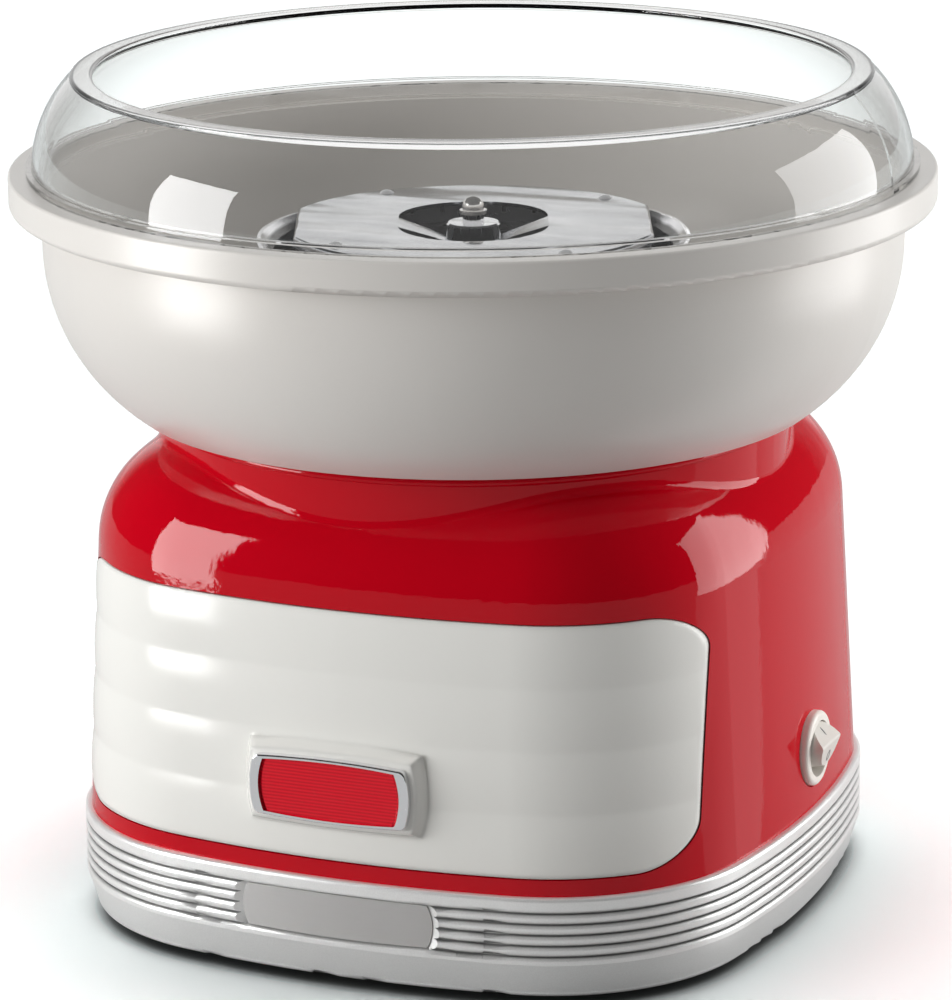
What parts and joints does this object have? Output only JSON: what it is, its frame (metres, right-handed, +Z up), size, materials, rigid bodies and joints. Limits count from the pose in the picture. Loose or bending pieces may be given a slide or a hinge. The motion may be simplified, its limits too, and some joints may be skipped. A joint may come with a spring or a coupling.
{
  "type": "cotton candy machine",
  "caption": "Tabletop electric cotton candy machine: round bowl and clear guard on a rounded-square motor housing, with a spinning heated sugar head and a rocker switch.",
  "frame": {"origin": "on the floor under the middle of the base", "axes": "+Z up along the shaft the head spins on, front (badge) towards -Y, power switch on the +X side"},
  "size_m": [0.29, 0.29, 0.2656],
  "materials": {
    "silver_paint": "satin silver",
    "brushed_plate": "fine brushed satin",
    "black_plastic": "matt moulded",
    "rubber": "matt",
    "zinc": "bright zinc plate",
    "white_plastic": "matt moulded",
    "red_plastic": "high gloss",
    "white_panel": "semi-gloss",
    "chrome": "polished",
    "red_lens": "gloss with fine lines",
    "white_gloss": "semi-gloss",
    "brass": "bright",
    "silicone": "matt",
    "bowl_plastic": "semi-gloss",
    "clear_plastic": "clear polycarbonate",
    "aluminium": "spun satin",
    "element_steel": "heat-darkened sheath",
    "ceramic": "glazed steatite",
    "zinc_plate": "zinc plate",
    "motor_steel": "drawn steel",
    "carbon": "pressed carbon",
    "bronze": "sintered bronze",
    "ferrite": "ground ferrite",
    "iron": "varnished laminations",
    "copper": "turned copper",
    "steel": "ground",
    "head_alloy": "bright pressed sheet",
    "head_steel": "perforated sheet",
    "pan_alloy": "pressed sheet, darkened by sugar"
  },
  "bodies": {
    "machine": {"base_skirt": "silver_paint", "name_plate": "brushed_plate", "bottom_plate": "black_plastic", "rubber_feet": "rubber", "body_screws": "zinc", "terminal_block": "white_plastic", "housing_shell": "red_plastic", "front_panel": "white_panel", "badge_frame": "chrome", "badge_lens": "red_lens", "switch_bezel": "white_gloss", "rocker_pin": "zinc", "switch_contacts": "brass", "cord_grommet": "rubber", "bowl_gasket": "silicone", "heater_pot": "aluminium", "pot_screws": "zinc", "heating_element": "element_steel", "ceramic_insulators": "ceramic", "thermostat": "black_plastic", "thermal_fuse": "zinc", "motor_bracket": "zinc_plate", "rubber_bushes": "rubber", "motor_screws": "zinc", "motor_can": "motor_steel", "motor_end_cap": "black_plastic", "carbon_brushes": "carbon", "lower_bearing": "bronze", "upper_bearing": "bronze", "motor_magnets": "ferrite"},
    "rotor": {"motor_shaft": "steel", "armature": "iron", "commutator": "copper", "cooling_fan": "black_plastic", "drive_hub": "aluminium", "drive_pin": "steel", "head_spacer": "aluminium", "head_collar": "head_alloy", "head_top": "head_alloy", "head_pan": "pan_alloy", "head_band": "head_steel", "head_rivets": "head_alloy", "nut_sleeve": "steel", "domed_nut": "head_alloy"},
    "rocker": {"switch_rocker": "white_gloss"},
    "bowl": {"bowl": "bowl_plastic"},
    "guard": {"splash_guard": "clear_plastic"}
  },
  "joints": [
    {"name": "rotor_spin", "type": "hinge", "parent": "machine", "child": "rotor", "pos_m": [0, 0, 0.2], "axis": [0, 0, 1], "continuous": true},
    {"name": "rocker_tilt", "type": "hinge", "parent": "machine", "child": "rocker", "pos_m": [0.108, 0.0044, 0.0544], "axis": [0, 1, 0], "range_deg": [0, 28]},
    {"name": "bowl_lift", "type": "slide", "parent": "machine", "child": "bowl", "axis": [0, 0, 1], "range_m": [0, 0.08]},
    {"name": "guard_lift", "type": "slide", "parent": "bowl", "child": "guard", "axis": [0, 0, 1], "range_m": [0, 0.05]}
  ]
}
